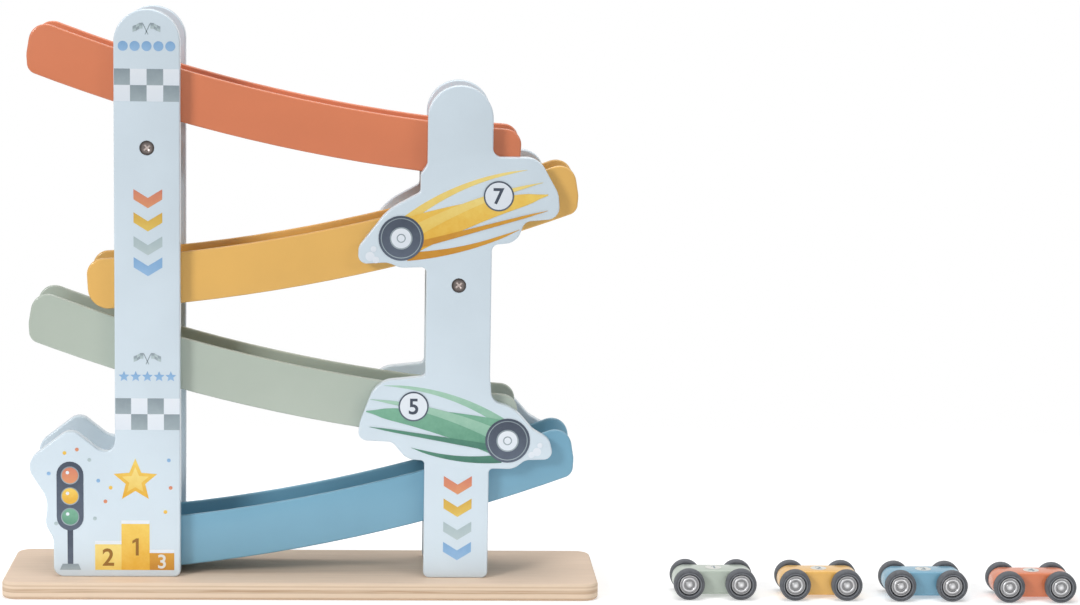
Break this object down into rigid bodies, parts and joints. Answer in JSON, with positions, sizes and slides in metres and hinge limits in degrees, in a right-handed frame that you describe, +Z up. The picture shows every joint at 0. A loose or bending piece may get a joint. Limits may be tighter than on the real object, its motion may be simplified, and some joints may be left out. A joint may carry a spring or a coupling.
{
  "type": "toy car ramp",
  "caption": "Zig-zag wooden ramp on a base board: towers of paired panels hold curved tracks that drop small cars from one to the next, with rolling cars beside it.",
  "frame": {"origin": "centre of the underside of the base board", "axes": "+X along the ramp towards the tower with two sign boards and the row of cars, +Y from front to back, +Z up"},
  "size_m": [0.6169, 0.0873, 0.3339],
  "materials": {
    "base": "plain plywood, lightly sealed",
    "panel": "satin pale blue paint",
    "wood": "bare turned wood",
    "orange": "satin orange paint",
    "yellow": "satin yellow paint",
    "sage": "satin grey-green paint",
    "blue": "satin dusty blue paint",
    "tyre": "matt dark grey",
    "hub": "bright metal with turned rings",
    "screw": "dull grey steel"
  },
  "bodies": {
    "ramp": {"base_board": "base", "left_tower_front_panel": "panel", "left_tower_front_screw": "screw", "left_tower_front_foot_screw": "screw", "left_tower_back_panel": "panel", "left_tower_back_screw": "screw", "left_tower_back_foot_screw": "screw", "left_tower_spacer": "wood", "right_tower_front_panel": "panel", "right_tower_front_screw": "screw", "right_tower_front_foot_screw": "screw", "right_tower_back_panel": "panel", "right_tower_back_screw": "screw", "right_tower_back_foot_screw": "screw", "right_tower_spacer": "wood", "blue_track_front_wall": "blue", "blue_track_back_wall": "blue", "blue_track_floor": "blue", "blue_track_stop": "blue", "sage_track_front_wall": "sage", "sage_track_back_wall": "sage", "sage_track_floor": "sage", "sage_track_stop": "sage", "yellow_track_front_wall": "yellow", "yellow_track_back_wall": "yellow", "yellow_track_floor": "yellow", "yellow_track_stop": "yellow", "orange_track_front_wall": "orange", "orange_track_back_wall": "orange", "orange_track_floor": "orange", "orange_track_stop": "orange"},
    "sage_car": {"sage_car_body": "sage"},
    "sage_car_left_wheels": {"sage_car_left_axle": "hub", "sage_car_left_front_tyre": "tyre", "sage_car_left_back_tyre": "tyre"},
    "sage_car_right_wheels": {"sage_car_right_axle": "hub", "sage_car_right_front_tyre": "tyre", "sage_car_right_back_tyre": "tyre"},
    "yellow_car": {"yellow_car_body": "yellow"},
    "yellow_car_left_wheels": {"yellow_car_left_axle": "hub", "yellow_car_left_front_tyre": "tyre", "yellow_car_left_back_tyre": "tyre"},
    "yellow_car_right_wheels": {"yellow_car_right_axle": "hub", "yellow_car_right_front_tyre": "tyre", "yellow_car_right_back_tyre": "tyre"},
    "blue_car": {"blue_car_body": "blue"},
    "blue_car_left_wheels": {"blue_car_left_axle": "hub", "blue_car_left_front_tyre": "tyre", "blue_car_left_back_tyre": "tyre"},
    "blue_car_right_wheels": {"blue_car_right_axle": "hub", "blue_car_right_front_tyre": "tyre", "blue_car_right_back_tyre": "tyre"},
    "orange_car": {"orange_car_body": "orange"},
    "orange_car_left_wheels": {"orange_car_left_axle": "hub", "orange_car_left_front_tyre": "tyre", "orange_car_left_back_tyre": "tyre"},
    "orange_car_right_wheels": {"orange_car_right_axle": "hub", "orange_car_right_front_tyre": "tyre", "orange_car_right_back_tyre": "tyre"}
  },
  "joints": [
    {"name": "sage_car_lift", "type": "slide", "parent": "ramp", "child": "sage_car", "axis": [0, 0, 1], "range_m": [0, 0.3]},
    {"name": "sage_car_left_spin", "type": "hinge", "parent": "sage_car", "child": "sage_car_left_wheels", "pos_m": [0.2226, -0.025, 0.0089], "axis": [0, 1, 0], "continuous": true},
    {"name": "sage_car_right_spin", "type": "hinge", "parent": "sage_car", "child": "sage_car_right_wheels", "pos_m": [0.2526, -0.025, 0.0089], "axis": [0, 1, 0], "continuous": true},
    {"name": "yellow_car_lift", "type": "slide", "parent": "ramp", "child": "yellow_car", "axis": [0, 0, 1], "range_m": [0, 0.3]},
    {"name": "yellow_car_left_spin", "type": "hinge", "parent": "yellow_car", "child": "yellow_car_left_wheels", "pos_m": [0.2839, -0.0261, 0.0089], "axis": [0, 1, 0], "continuous": true},
    {"name": "yellow_car_right_spin", "type": "hinge", "parent": "yellow_car", "child": "yellow_car_right_wheels", "pos_m": [0.3139, -0.0261, 0.0089], "axis": [0, 1, 0], "continuous": true},
    {"name": "blue_car_lift", "type": "slide", "parent": "ramp", "child": "blue_car", "axis": [0, 0, 1], "range_m": [0, 0.3]},
    {"name": "blue_car_left_spin", "type": "hinge", "parent": "blue_car", "child": "blue_car_left_wheels", "pos_m": [0.345, -0.0272, 0.0089], "axis": [0, 1, 0], "continuous": true},
    {"name": "blue_car_right_spin", "type": "hinge", "parent": "blue_car", "child": "blue_car_right_wheels", "pos_m": [0.375, -0.0272, 0.0089], "axis": [0, 1, 0], "continuous": true},
    {"name": "orange_car_lift", "type": "slide", "parent": "ramp", "child": "orange_car", "axis": [0, 0, 1], "range_m": [0, 0.3]},
    {"name": "orange_car_left_spin", "type": "hinge", "parent": "orange_car", "child": "orange_car_left_wheels", "pos_m": [0.408, -0.0293, 0.0089], "axis": [0, 1, 0], "continuous": true},
    {"name": "orange_car_right_spin", "type": "hinge", "parent": "orange_car", "child": "orange_car_right_wheels", "pos_m": [0.438, -0.0293, 0.0089], "axis": [0, 1, 0], "continuous": true}
  ]
}
